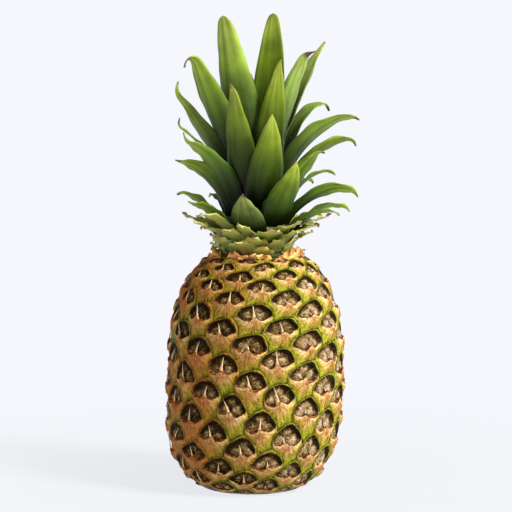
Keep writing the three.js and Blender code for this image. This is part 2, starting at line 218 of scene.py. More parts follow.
def eyeTable():
    # every eye whose patch reaches the side, once round the fruit, as steps (i, j) along the 8 and 11 spirals,
    # with what is its own: size, turn, shift of its scar, strength of its relief
    rng = np.random.default_rng(11)
    i, j = [part.ravel() for part in np.meshgrid(np.arange(-60.0, 60.0), np.arange(8.0))]
    passed = flatPlace(i, j)[:, 1] / eye["rise"]
    near = (passed > course["count"][0] - 14) & (passed < course["count"][-1] + 16)
    places = np.stack([i, j], -1)[near]
    n = len(places)
    flat = flatPlace(places[:, 0], places[:, 1])
    return {
        "place": places, "flat": flat, "level": levelOf(flat),
        "rightness": np.cos(np.radians(eye["anchorAngle"]) + flat[:, 0] / fruit["radius"]),
        "size": rng.uniform(0.93, 1.04, n), "turn": rng.normal(0.0, 0.11, n),
        "centre": rng.normal(0.0, 0.35, (n, 2)), "strength": rng.uniform(0.7, 1.25, n),
        "tint": rng.uniform(0.0, 1.0, n), "phase": rng.uniform(0, 6.28, n),
    }


eyes = eyeTable()


def patchOutline():
    # An eye's rim, anticlockwise from its right corner: over the arch to its left corner, down to the bract's
    # tip and back. Each edge is also an edge of one neighbour, one step away, and bows by the same amount there.
    right, left = np.array(eye["rightCorner"]), np.array(eye["leftCorner"])
    corners = [right, left + (0, 1), right + (1, 0), left, right - (0, 1), left - (1, 0)]
    t = np.arange(eye["edgeSteps"])[:, None] / eye["edgeSteps"]
    rim = [corners[k] + (corners[(k + 1) % 6] - corners[k]) * t for k in range(6)]
    bow = [np.array(eye["bulges"][k % 3]) * 4 * t * (1 - t) for k in range(6)]
    return np.concatenate(rim), np.concatenate(bow)


def bractHeight(x, y):
    # the bract from its swollen edge on the scar's base line down to the rim at its tip, rounded sideways
    down = (eye["baseLine"] - y) / eye["bractLength"]
    return mix(eye["rim"], eye["bractEdge"], 1.0 - smoothStep(0.0, 1.0, down)) - 0.012 * x * x


def eyeRelief(local, inside, outside, direction):
    # Heights over the rind and the tones that go with them. Inside the scar three sepals bulge out of a sunk
    # floor, which the arch shuts in above. Below it the bract swells from the base line and falls to its tip.
    strength, phase, size = [eyes[key][:, None, None] for key in ("strength", "phase", "size")]
    offset = local - eyes["centre"][:, None, None, :]
    x, y = offset[..., 0] / size, offset[..., 1] / size
    upness = smoothStep(-0.45, -0.15, np.sin(direction))[:, None, :]
    lobes = []
    for cx, cy, rx, ry, high in eye["lobes"]:
        far = ((x - cx - 0.4 * np.sin(phase + cy)) / rx) ** 2 + ((y - cy) / ry) ** 2
        lobes.append(high * np.sqrt(np.clip(1.0 - far, 0.0, 1.0)))
    sepal = np.maximum(np.maximum(lobes[0], lobes[1]), lobes[2]) * strength
    pale = np.maximum(np.maximum(lobes[0], lobes[1]) / 1.7, 0.45 * lobes[2])
    wrinkle = np.sin(2.1 * x + 3.0 * np.sin(0.9 * y + phase)) * np.sin(1.4 * y + 2.0 * phase)
    pit = np.exp(-((x / eye["pitWidth"]) ** 2 + ((y - eye["pitLevel"]) / eye["pitWidth"]) ** 2))
    scar = eye["floor"] + sepal + eye["wrinkle"] * wrinkle * (1 - inside ** 4) - eye["pitDepth"] * pit
    low = bractHeight(x, y)
    crest = mix(low, eye["arch"], upness)
    height = mix(scar, crest, smoothStep(0.84, 1.0, inside) ** mix(1.0, 2.0, upness))
    angle = direction[:, None, :]
    fibre = 0.3 * np.sin(17 * angle + phase + 2.5 * outside) + 0.2 * np.sin(29 * angle - 2 * phase - 3 * outside)
    body = mix(low + fibre * (1.0 - outside), crest, upness)
    height = np.where(outside > 0, mix(body, eye["rim"], outside ** 3), height)
    blush = np.exp(-(x / 2.8) ** 2 - ((y - eye["baseLine"]) / 2.0) ** 2) * (outside > 0)
    down = (eye["baseLine"] - y) / eye["bractLength"]
    dry = smoothStep(-2.0, 3.0, eye["dryHalfWidth"] * (1.0 - down) - np.abs(x)) * (1.0 - upness)
    return height, 1.0 - dry, pale * strength, blush


def makeRind(material):
    # Each eye is a polar patch: rings from its centre to the scar's edge, then to the outline it shares.
    # The patches are unrolled in mm and rolled up on the fruit at the end.
    places = eyes["place"]
    rim, bow = patchOutline()
    around, cells = len(rim), len(places)
    corner = places[:, None, :] + rim[None]
    away = flatPlace(corner[..., 0], corner[..., 1]) + bow - (eyes["flat"] + eyes["centre"])[:, None, :]
    far = np.linalg.norm(away, axis=-1)
    direction = np.arctan2(away[..., 1], away[..., 0])
    own = direction - eyes["turn"][:, None]
    # The scar's edge along each ray, halved in on: under an arch, whose width and height to a power add up to one,
    # and over a line that sags between the corners and climbs in the middle, where the bract has its point.
    size, base = eyes["size"][:, None], -eye["baseLine"]
    low, high = np.zeros_like(own), np.full_like(own, 30.0)
    for _ in range(24):
        reach = 0.5 * (low + high)
        across, up = reach * np.cos(own), reach * np.sin(own)
        wide = np.abs(across / eye["scarHalfWidth"]) ** eye["archPower"]
        tall = np.abs(np.maximum(up + base, 0.0) / eye["archHeight"]) ** eye["archPower"]
        sag = base * (1.0 - eye["sag"] * (across / eye["scarHalfWidth"]) ** 2)
        sag = sag * (1.0 - eye["peak"] * np.exp(-(across / eye["peakWidth"]) ** 2))
        within = (wide + tall < 1.0) & (up > -sag)
        low, high = np.where(within, reach, low), np.where(within, high, reach)
    phase = eyes["phase"][:, None]
    uneven = 0.05 * np.sin(3 * own + phase) + 0.04 * np.sin(7 * own - 2 * phase)
    reach = np.minimum(low * size * (1.0 + uneven), far - eye["lipWidth"])
    edge = np.stack([reach * np.cos(direction), reach * np.sin(direction)], -1)
    inner = [edge * t for t in eye["insideRings"]]
    outer = [mix(edge, away, w) for w in eye["outsideRings"]]
    local = np.stack(inner + outer, axis=1) + eyes["centre"][:, None, None, :]  # cells, rings, around, 2
    ringPlace = np.array([*eye["insideRings"], *(1.0 + np.array(eye["outsideRings"]))])
    inside = np.minimum(ringPlace, 1.0)[None, :, None]
    outside = np.maximum(ringPlace - 1.0, 0.0)[None, :, None]
    flat = eyes["flat"][:, None, None, :] + local
    height, upness, pale, blush = eyeRelief(local, inside, outside, direction)
    points = rindPoint(flat, height)
    middle = eyes["flat"] + eyes["centre"]
    centres = rindPoint(middle, np.full(cells, eye["floor"]))

    # The outline's points are shared by the eyes on both sides of it: their places become whole numbers, taken
    # once round to the same 8 spirals, and equal ones are one point.
    scale = 100 * eye["edgeSteps"]
    keys = np.rint(corner * scale).astype(int)
    turns = np.floor_divide(keys[..., 1], 8 * scale)
    keys[..., 0] += 11 * scale * turns
    keys[..., 1] -= 8 * scale * turns
    _, first, index = np.unique(keys.reshape(-1, 2), axis=0, return_index=True, return_inverse=True)
    rings = len(ringPlace) - 1

    def perVertex(atCentre, atRings):
        # one value or place for each vertex: the centres, then the rings, then the shared outline
        tail = atRings.shape[3:]
        return np.concatenate([
            atCentre, atRings[:, :-1].reshape((-1,) + tail), atRings[:, -1].reshape((-1,) + tail)[first],
        ])

    vertices = perVertex(centres, points)
    passed = perVertex(middle[:, 1], flat[..., 1]) / eye["rise"]
    beyond = np.where(passed <= course["count"][0], -1, np.where(passed >= course["count"][-1], 1, 0))
    ownIndex = cells + np.arange(cells * rings * around).reshape(cells, rings, around)
    grooveIndex = cells + cells * rings * around + index.reshape(cells, 1, around)
    grid = np.concatenate([ownIndex, grooveIndex], axis=1)
    after = np.roll(grid, -1, axis=2)
    quads = np.stack([grid[:, :-1], grid[:, 1:], after[:, 1:], after[:, :-1]], axis=-1)
    hubs = np.broadcast_to(np.arange(cells)[:, None], (cells, around))
    fans = np.stack([hubs, grid[:, 0], after[:, 0]], axis=-1)
    # the map runs round the eye in u and from its centre to the groove in v
    steps = np.concatenate([[0.0], ringPlace]) / 2.0
    rows = np.stack([steps[1:-1], steps[2:], steps[2:], steps[1:-1]], axis=-1)[:, None, :]
    kept, tints, uvs = [], [], []
    for part, corners, v in ((quads, [0, 0, 1, 1], rows), (fans, [0.5, 0, 1], steps[[0, 1, 1]])):
        keep = ~np.all(beyond[part] != 0, axis=-1)
        uv = np.stack(np.broadcast_arrays((np.arange(around)[:, None] + corners) / around, v), axis=-1)
        uvs.append(np.broadcast_to(uv, (*part.shape, 2))[keep].reshape(-1, 2))
        tints.append(eyes["tint"][np.nonzero(keep)[0]])
        kept.append(part[keep])
    quads, fans = kept

    # the open rims at the base and the neck go on to the socket and to the middle of the neck
    total = len(vertices)
    edges = np.concatenate([
        np.stack([part, np.roll(part, -1, axis=1)], -1).reshape(-1, 2) for part in (quads, fans)
    ])
    openEdges = edges[~np.isin(edges[:, 0] * total + edges[:, 1], edges[:, 1] * total + edges[:, 0])]
    wall = fruit["socketRadius"]
    socket = [(fruit["socketRim"], 0.0), (wall, 0.0), (wall, fruit["socketDepth"])]
    neck = [(fruit["neckRadius"], fruit["topLevel"])]
    extra, extraFaces = [], []
    for sign, rest, lean in ((-1, socket, 0.0), (1, neck, fruit["lean"])):
        lastA, lastB = openEdges[beyond[openEdges[:, 0]] == sign].T
        ids = np.unique(lastA)
        a, b = np.searchsorted(ids, lastA), np.searchsorted(ids, lastB)
        angles = np.arctan2(vertices[ids, 1], vertices[ids, 0] - lean)
        for radius, level in rest:
            start = total + sum(len(part) for part in extra)
            extra.append(np.stack([radius * np.cos(angles) + lean, radius * np.sin(angles), 0 * angles + level], -1))
            extraFaces += np.stack([lastB, lastA, start + a, start + b], -1).tolist()
            lastA, lastB = start + a, start + b
        start = total + sum(len(part) for part in extra)
        extra.append(np.array([[lean, 0.0, rest[-1][1]]]))
        extraFaces += np.stack([lastB, lastA, np.full(len(a), start)], -1).tolist()
    spare = sum(len(part) for part in extra)
    ringTone = np.broadcast_to(ringPlace[None, :, None] / 2.0, height.shape)

    def tone(atCentre, atRings, rest):
        # the same, with one value for all that was added at the base and the neck
        return np.concatenate([perVertex(np.full(cells, atCentre), atRings), np.full(spare, rest)])

    spareLoops = sum(len(face) for face in extraFaces)
    uv = np.concatenate([*uvs, np.full((spareLoops, 2), 0.99)])
    faces = quads.tolist() + fans.tolist() + extraFaces
    print("rind triangles", 2 * len(quads) + len(fans) + 2 * len(extraFaces))
    makePiece(
        "pineappleRind", np.concatenate([vertices] + extra), faces, material, ["fruit"],
        floats={"ringPlace": tone(0.0, ringTone, 1.0), "upness": tone(0.5, upness, 0.5), "pale": tone(0.0, pale, 0.0),
                "blush": tone(0.0, blush, 0.0)},
        faceFloats={"eyeTint": np.concatenate([*tints, np.full(len(extraFaces), 0.5)])}, uv=uv,
    )


point = {"rings": 12, "around": 8, "footY": -8.2, "halfWidth": 3.8, "lift": 2.6, "bow": 0.3, "thick": 1.0,
         "lengths": (11.0, 15.5), "drift": (-0.6, 2.6)}
fibre = {"count": 8, "steps": 7, "halfWidth": 0.24, "thick": 0.22, "footY": -5.8, "lengths": (4.5, 10.5),
         "fan": (-172.0, -8.0), "sway": 0.9}


def sideEyes():
    # the eyes on the side proper, away from the base and the neck
    keep = (eyes["level"] > 8.0) & (eyes["level"] < fruit["topLevel"] - 5.0)
    return {key: value[keep] for key, value in eyes.items()}


def makeHorns(name, places, x, y, height, alongPoint, tint, material):
    # closed tubes over the rind, one for each place: rings of points, x and y mm away from it and so high
    horns, rings, around = x.shape
    grid = np.arange(horns * rings * around).reshape(horns, rings, around)
    faces = tubeSides(grid).tolist() + grid[:, 0, ::-1].tolist() + grid[:, -1].tolist()
    points = rindPoint(places[:, None, None, :] + np.stack([x, y], -1), height)
    makePiece(name, points.reshape(-1, 3), faces, material, [],
              floats={"alongPoint": np.broadcast_to(alongPoint, x.shape)},
              faceFloats={"leafTint": np.concatenate([np.repeat(tint, (rings - 1) * around), tint, tint])})


def makeBractPoints(material):
    # Each point is a flattened horn from the bract's middle up over the scar, bowed away from the rind. Its width
    # falls from a broad foot to a thin blade, and its lift from the bract's height to the scar's.
    rng = np.random.default_rng(17)
    own = sideEyes()
    each = (len(own["flat"]), 1, 1)
    shorter = smoothStep(0.05, 0.55, own["rightness"].reshape(each) + rng.normal(0, 0.22, each))
    length = rng.uniform(*point["lengths"], each) * mix(1.0, 0.5, shorter)
    drift = rng.normal(*point["drift"], each)
    t = np.linspace(0.0, 1.0, point["rings"])[:, None]
    ring = np.linspace(0.0, 2 * np.pi, point["around"], endpoint=False)
    half = point["halfWidth"] * (0.78 * (1 - t) ** 4 + 0.22 * (1 - t) ** 0.8) + 0.1
    thick = point["thick"] * (1 - t) ** 0.8 + 0.12
    x = drift * t ** 2 + half * np.cos(ring)
    y = point["footY"] + length * t + 0 * x
    bow = point["bow"] * np.sin(np.pi * 0.7 * t) * rng.uniform(0.0, 1.6, each)
    height = point["lift"] * (1 - 0.85 * t) - 1.2 * (1 - t) ** 4 + bow + thick * 0.6 * np.sin(ring)
    makeHorns("bractPoints", own["flat"] + own["centre"], x, y, height, t, rng.uniform(size=len(x)), material)


def makeBractFibres(material):
    # Thin dry fibres fan out from under each point, over the bract and down towards the groove. Each runs straight
    # at its own angle, swayed with the square of the way along and lifted with its cube.
    rng = np.random.default_rng(29)
    own = sideEyes()
    cells, many = len(own["flat"]), fibre["count"]
    places = np.repeat(own["flat"] + own["centre"], many, axis=0)
    fan = np.radians(np.linspace(*fibre["fan"], many)) + rng.normal(0.0, 0.12, (cells, many))
    each = (cells * many, 1, 1)
    c, s = np.cos(fan).reshape(each), np.sin(fan).reshape(each)
    t = np.linspace(0.0, 1.0, fibre["steps"])[:, None]
    ring = np.linspace(0.0, 2 * np.pi, 4, endpoint=False)
    along = 0.8 + rng.uniform(*fibre["lengths"], each) * t
    sway = rng.normal(0.0, fibre["sway"], each) * t * t
    across = sway + fibre["halfWidth"] * (1.0 - 0.85 * t) * rng.uniform(0.6, 1.4, each) * np.cos(ring)
    x = along * c - across * s
    y = fibre["footY"] + along * s + across * c
    lift = rng.uniform(0.0, 0.4, each) + rng.uniform(-0.3, 0.8, each) * t ** 3
    height = bractHeight(x, y) + lift + fibre["thick"] * np.sin(ring)
    makeHorns("bractFibres", places, x, y, height, 0.16 - 0.16 * t, rng.uniform(size=len(x)), material)


stem = {"radius": 24.0, "height": 62.0, "footLevel": fruit["topLevel"] + gap, "rings": 40, "around": 72}
leafForm = {"along": 40, "across": 9, "rootDepth": 3.0, "thickness": 2.2, "tipThickness": 1.0, "channel": 17.0,
            "firstFoot": 7.0, "footStep": 1.22, "pointPower": 9.0, "narrowing": 0.84}
# direction, reach and rise of the tip, width, tip angle, roll, curl of the tip, dryness of the tip
leafPlan = [
    (37, 60, 24, 18, -28, 0, -30, 0.5), (-158, 51, 37, 19, -10, -25, 40, 0.6), (-22, 62, 31, 18, -22, 15, -30, 0.4),
    (80, 63, 31, 19, -30, 0, -20, 0.4), (7, 67, 31, 17, -34, 25, -30, 0.5), (174, 56, 44, 16, 5, -35, -40, 0.7),
    (-104, 40, 45, 26, 60, 0, 50, 0.8), (127, 57, 38, 20, -25, 0, -20, 0.4), (-8, 72, 42, 22, -50, 38, -20, 0.5),
    (53, 69, 48, 20, -25, 0, -30, 0.5), (-57, 50, 68, 27, 66, 8, 0, 0.2), (-161, 59, 66, 23, -8, -35, 20, 0.8),
    (100, 69, 50, 22, -20, 0, -20, 0.4), (22, 61, 56, 16, -25, 25, -30, 0.4), (75, 73, 66, 23, -15, 0, -30, 0.3),
    (-146, 63, 83, 27, 12, -20, 60, 0.5), (143, 56, 62, 22, -10, 0, -20, 0.5), (-31, 53, 77, 24, 42, 15, -60, 0.4),
    (163, 62, 91, 22, 22, -25, 80, 0.8), (-76, 44, 100, 29, 78, 0, 0, 0.1), (9, 73, 80, 23, -12, 35, -60, 0.7),
    (49, 65, 84, 24, 15, 0, -30, 0.3), (114, 64, 94, 25, 25, 0, -20, 0.4), (-112, 43, 122, 24, 78, -6, -40, 0.4),
    (84, 60, 106, 25, 40, 0, -30, 0.3), (-17, 74, 98, 28, -2, 25, -30, 0.7), (-169, 61, 119, 26, 48, -40, 60, 0.3),
    (36, 66, 101, 18, -42, -8, -30, 0.7), (63, 50, 122, 25, 55, 0, -20, 0.3), (-147, 55, 147, 31, 63, -25, -150, 0.9),
    (123, 41, 122, 25, 62, 0, -20, 0.2), (-62, 33, 137, 27, 82, 6, -20, 0.3), (-123, 41, 166, 37, 74, -8, 0, 0.1),
    (-25, 40, 146, 29, 64, 20, -50, 0.8), (24, 53, 148, 22, 50, -30, 0, 0.2), (98, 25, 126, 26, 80, 0, -20, 0.2),
    (49, 18, 168, 31, 88, -28, 0, 0.2),
]
tipPowers = {33: 40.0, 37: 60.0, 34: 16.0, 30: 14.0, 20: 12.0, 27: 2.5, 19: 3.0, 16: 4.0}  # high is blunt
leafBloom = {33: 0.3, 30: 0.2, 34: 0.6, 35: 0.95, 28: 0.5, 26: 0.25, 19: 0.4, 16: 0.2, 27: 0.2, 7: 0.8, 24: 0.15}
tipNarrowing = {33: 0.76, 37: 0.76}  # how much of the width is gone at the tip, where it isn't the form's
scaleForm = {**leafForm, "along": 20, "across": 7, "rootDepth": 0.3, "thickness": 1.8, "channel": 26.0,
             "count": 34, "pointPower": 2.6, "startAngle": -80.0, "firstFoot": 0.6, "footStep": 0.38,
             "firstReach": 30.0, "reachStep": 0.75, "firstRise": 9.5, "riseStep": 0.63, "width": 22.0,
             "tip": 12.0, "launch": 74.0, "narrowing": 0.8}
bractForm = {**leafForm, "along": 10, "across": 5, "thickness": 1.6, "channel": 30.0, "count": 28, "pointPower": 3.0,
             "footRadius": 29.0, "footLevel": -4.0, "width": 11.5, "reach": 31.6, "rise": 4.2, "launch": 82.0,
             "narrowing": 0.8}


def stemRadius(height):
    # full at the foot and nothing at the top: a power of one less a power of the share of the height
    return stem["radius"] * (1.0 - np.clip(height / stem["height"], 0.0, 1.0) ** 2.2) ** 0.6


def bladeSurface(leaf, form, seed):
    # A closed blade carried along a cubic curve in the plane through the stem's axis, from its start, the way it
    # launches, to its reach and rise, the way its tip points. Its section is an arc, round the stem at the foot and
    # a gutter further out, thick in the middle and thin at the margins.
    rng = np.random.default_rng(seed)
    along, across = form["along"], form["across"]
    s = 1.0 - (1.0 - np.linspace(0.0, 1.0, along + 1)[:, None]) ** 1.25
    start, end = np.array(leaf["start"]), np.array([leaf["reach"], leaf["rise"]])
    third = np.linalg.norm(end - start) / 3.0
    chord = np.degrees(np.arctan2(end[1] - start[1], end[0] - start[0]))
    launch = np.radians(leaf.get("launch", np.clip(chord + 0.7 * (chord - leaf["tip"]), 35.0, 90.0)))
    tip = np.radians(leaf["tip"])
    first = start + third * np.array([np.cos(launch), np.sin(launch)])
    second = end - third * np.array([np.cos(tip), np.sin(tip)])
    line = (1 - s) ** 3 * start + 3 * s * (1 - s) ** 2 * first + 3 * s * s * (1 - s) * second + s ** 3 * end
    way = 3 * (1 - s) ** 2 * (first - start) + 6 * s * (1 - s) * (second - first) + 3 * s * s * (end - second)
    # the curl turns the curve's end, so its steps are walked again
    bearing = np.arctan2(way[:, 1:], way[:, :1]) + np.radians(leaf.get("curl", 0.0)) * smoothStep(0.86, 1.0, s)
    steps = np.linalg.norm(np.diff(line, axis=0), axis=1, keepdims=True)
    middle = 0.5 * (bearing[1:] + bearing[:-1])
    walk = steps * np.hstack([np.cos(middle), np.sin(middle)])
    line = np.concatenate([line[:1], line[:1] + np.cumsum(walk, axis=0)])
    # the blade's own directions along it: out from the axis, level across, up, and with the roll inward and sideways
    turn = np.radians(leaf["turn"]) + 0 * s
    roll = np.radians(leaf.get("roll", 0.0)) * smoothStep(0.1, 0.8, s)
    out = np.hstack([np.cos(turn), np.sin(turn), 0 * turn])
    level = np.hstack([-np.sin(turn), np.cos(turn), 0 * turn])
    axis = np.array([0.0, 0.0, 1.0])
    upper = -np.sin(bearing) * out + np.cos(bearing) * axis
    inward = (np.cos(roll) * upper + np.sin(roll) * level)[:, None]
    side = (np.cos(roll) * level - np.sin(roll) * upper)[:, None]
    hollow = mix(np.maximum(line[:, :1], 8.0), form["channel"], smoothStep(0.0, 0.4, s))
    taper = 1.0 - leaf.get("narrowing", form["narrowing"]) * np.clip((s - 0.35) / 0.65, 0.0, 1.0) ** 1.3
    pointed = (1.0 - s ** leaf.get("pointPower", form["pointPower"])) ** 0.6
    half = np.maximum(leaf["width"] / 2.0 * taper * pointed, 0.35)
    thick = mix(form["thickness"], form["tipThickness"], s) / 2.0
    u = np.linspace(-1.0, 1.0, across)
    bend = np.clip(u * half / hollow, -1.3, 1.3)
    edgeWave = leaf.get("wave", 0.5) * np.abs(u) ** 3 * (
        np.sin(s * rng.uniform(14, 22) + u * 2.0 + rng.uniform(0, 6))
        + 0.6 * np.sin(s * rng.uniform(30, 44) - u * 3.0 + rng.uniform(0, 6))
    ) * smoothStep(0.1, 0.35, s)
    place = (line[:, :1] * out + line[:, 1:] * axis)[:, None] + (hollow * np.sin(bend))[..., None] * side
    place = place + (hollow * (1.0 - np.cos(bend)) + edgeWave)[..., None] * inward
    face = np.cos(bend)[..., None] * inward - np.sin(bend)[..., None] * side
    offset = (thick * mix(1.0, 0.42, u * u))[..., None]
    ring = np.concatenate([place - face * offset, (place + face * offset)[:, ::-1]], axis=1)
    count = 2 * across
    grid = np.arange((along + 1) * count).reshape(along + 1, count)
    k = np.arange(across - 1)
    foot = np.stack([grid[0, k], grid[0, count - 1 - k], grid[0, count - 2 - k], grid[0, k + 1]], -1)
    point = np.stack([grid[-1, k], grid[-1, k + 1], grid[-1, count - 2 - k], grid[-1, count - 1 - k]], -1)
    faces = np.concatenate([tubeSides(grid), foot, point])
    share = np.tile(np.concatenate([(u + 1) / 2, (u[::-1] + 1) / 2]), along + 1)
    uv = np.stack([share, np.repeat(s, count)], -1)[faces].reshape(-1, 2)
    upperFace = np.tile(np.repeat([0.0, 1.0], across), along + 1)
    return {"points": ring.reshape(-1, 3), "faces": faces, "uv": uv, "upperFace": upperFace}


def makeBlades(name, surfaces, level, material, slotName, replaced, **tones):
    # one piece of one or more blades, lifted to its level and leaned, with the tones of each blade on its faces
    shift = np.cumsum([0] + [len(part["points"]) for part in surfaces[:-1]])
    faces = np.concatenate([part["faces"] + step for part, step in zip(surfaces, shift)])
    sizes = [len(part["faces"]) for part in surfaces]
    points, uv, upperFace = [
        np.concatenate([part[key] for part in surfaces]) for key in ("points", "uv", "upperFace")
    ]
    makePiece(
        name, leaned(points + [0.0, 0.0, level]), faces.tolist(), material, replaced,
        floats={"upperFace": upperFace}, uv=uv,
        faceFloats={key: np.repeat(value, sizes) for key, value in tones.items()},
    )


def rootOn(foot, form):
    # a blade's start, so deep in the stem at the height of its foot
    return (float(stemRadius(foot)) - form["rootDepth"], foot)


def makeLeaves(material):
    # the large leaves as planned, each with its foot a step higher up the stem than the one before
    rng = np.random.default_rng(3)
    for number, row in enumerate(leafPlan, 1):
        leaf = dict(zip(("turn", "reach", "rise", "width", "tip", "roll", "curl", "dryness"), row))
        leaf["start"] = rootOn(leafForm["firstFoot"] + leafForm["footStep"] * (number - 1), leafForm)
        leaf["pointPower"] = tipPowers.get(number, leafForm["pointPower"])
        leaf["narrowing"] = tipNarrowing.get(number, leafForm["narrowing"])
        surface = bladeSurface(leaf, leafForm, 99 + number)
        makeBlades(f"crownLeaf{number:02d}", [surface], stem["footLevel"], material, "leaf", [f"leaf_{number:02d}"],
                   leafTint=rng.uniform(), dryness=leaf["dryness"], bloom=leafBloom.get(number, 0.08))


def makeScales(material):
    # short leaves round the stem's foot, each turned by the golden angle, a step higher and longer than the last
    rng = np.random.default_rng(8)
    surfaces = []
    for k in range(scaleForm["count"]):
        scale = {
            "turn": scaleForm["startAngle"] + golden * k,
            "start": rootOn(scaleForm["firstFoot"] + scaleForm["footStep"] * k, scaleForm),
            "reach": scaleForm["firstReach"] + scaleForm["reachStep"] * k + 2.0 * np.sin(4.1 * k),
            "rise": scaleForm["firstRise"] + scaleForm["riseStep"] * k + 1.5 * np.sin(2.3 * k),
            "width": scaleForm["width"] * rng.uniform(0.62, 1.08), "tip": scaleForm["tip"] + rng.uniform(-35, 30),
            "launch": scaleForm["launch"], "curl": rng.uniform(-60, 40), "wave": 0.9, "roll": rng.uniform(-18, 18),
        }
        surfaces.append(bladeSurface(scale, scaleForm, 300 + k))
    makeBlades("scaleLeaves", surfaces, stem["footLevel"], material, "scale_leaf", ["crown_stem"],
               leafTint=rng.uniform(size=len(surfaces)))


def makeStem(material):
    # the stem's side turned round its axis, with shallow rings where leaves were
    rings, around = stem["rings"], stem["around"]
    height = stem["height"] * np.sin(np.linspace(0.0, np.pi / 2, rings))[:, None]
    turns = np.linspace(0.0, 2 * np.pi, around, endpoint=False)
    radius = stemRadius(height) + 0.25 * np.sin(height * 2.4)
    radius[-1] = 0.4
    ring = np.stack([radius * np.cos(turns), radius * np.sin(turns), height + 0 * turns], -1)
    grid = np.arange(rings * around).reshape(rings, around)
    faces = tubeSides(grid).tolist() + [grid[0, ::-1].tolist(), grid[-1].tolist()]
    points = leaned(ring.reshape(-1, 3) + [0.0, 0.0, stem["footLevel"]])
    makePiece("crownStem", points, faces, material, ["crown_stem"])


def makeNeckBracts(material):
    # dry bracts stand round the neck at even steps, and chance moves, widens, rolls and curls each of them
    rng = np.random.default_rng(21)
    surfaces = []
    for k in range(bractForm["count"]):
        bract = {
            "turn": 360.0 / bractForm["count"] * k + 6 * np.sin(5 * k) + rng.normal(0, 4),
            "start": (bractForm["footRadius"] - bractForm["rootDepth"] + rng.uniform(-1, 3), bractForm["footLevel"]),
            "reach": bractForm["reach"] + rng.uniform(-2.5, 4.0), "rise": bractForm["rise"] + rng.uniform(-3.5, 2.5),
            "width": bractForm["width"] * rng.uniform(0.9, 1.8), "tip": rng.uniform(-30, 40),
            "launch": bractForm["launch"], "curl": rng.uniform(-90, 60), "roll": rng.uniform(-40, 40), "wave": 1.3,
        }
        surfaces.append(bladeSurface(bract, bractForm, 500 + k))
    makeBlades("neckBracts", surfaces, fruit["topLevel"], material, "rind", [],
               leafTint=rng.uniform(size=len(surfaces)))


def newMaterial(name):
    # an empty material, and the function that adds a node to it
    material = bpy.data.materials.new(name)
    material.use_nodes = True
    material.node_tree.nodes.clear()
    return material, partial(addNode, material.node_tree)


def drawnOut(add, uv, own, across, along, detail=3.0):
    # noise stretched into lines, so many across the map and along it, with a pattern of its own for each blade or eye
    place = add("Mapping", {0: uv, "Scale": (across, along, 1.0)})
    return add("TexNoise", {"Vector": place, "W": own, "Scale": 1.0, "Detail": detail}, noise_dimensions="4D")


def finishMaterial(add, colour, roughness, relief, strength, depth, specular=0.5):
    # the bump, shader and output that every finish ends in, the bump's depth in mm
    bump = add("Bump", {"Strength": strength, "Distance": depth / 1000.0, "Height": relief})
    shader = add("BsdfPrincipled", {
        "Base Color": colour, "Roughness": roughness, "IOR": 1.45, "Specular IOR Level": specular, "Normal": bump,
    })
    add("OutputMaterial", {"Surface": shader})


rindLook = {
    # in the scar, from in under the arch to the sepals: the dark end is partly the scar's own dark colour and partly
    # painted shade in the recess under the arch
    "scar": [(0.0, "#241402"), (0.2, "#402C0C"), (0.36, "#624A20"), (0.55, "#94784A"), (0.78, "#C4A682"),
             (1.0, "#EAD4C0")],
    # outside it, from a thin near-black line to the groove: on the lip above and on the bract below. The near-black
    # line at the scar's edge is painted shadow in the crevice there, and under the bract it is partly also the
    # bract's own dark red-brown edge
    "lip": [(0.49, "#120C02"), (0.58, "#2A2A08"), (0.7, "#605E14"), (0.83, "#B2A82C"), (0.93, "#868A1A"),
            (1.0, "#2E3C08")],
    "bract": [(0.49, "#3E1804"), (0.515, "#C8925A"), (0.54, "#F8D89E"), (0.67, "#ECC674"), (0.84, "#BA9834"),
              (1.0, "#504E10")],
    "rust": "#C66E2C", "blush": "#B85C30", "blushShare": 0.8,
}


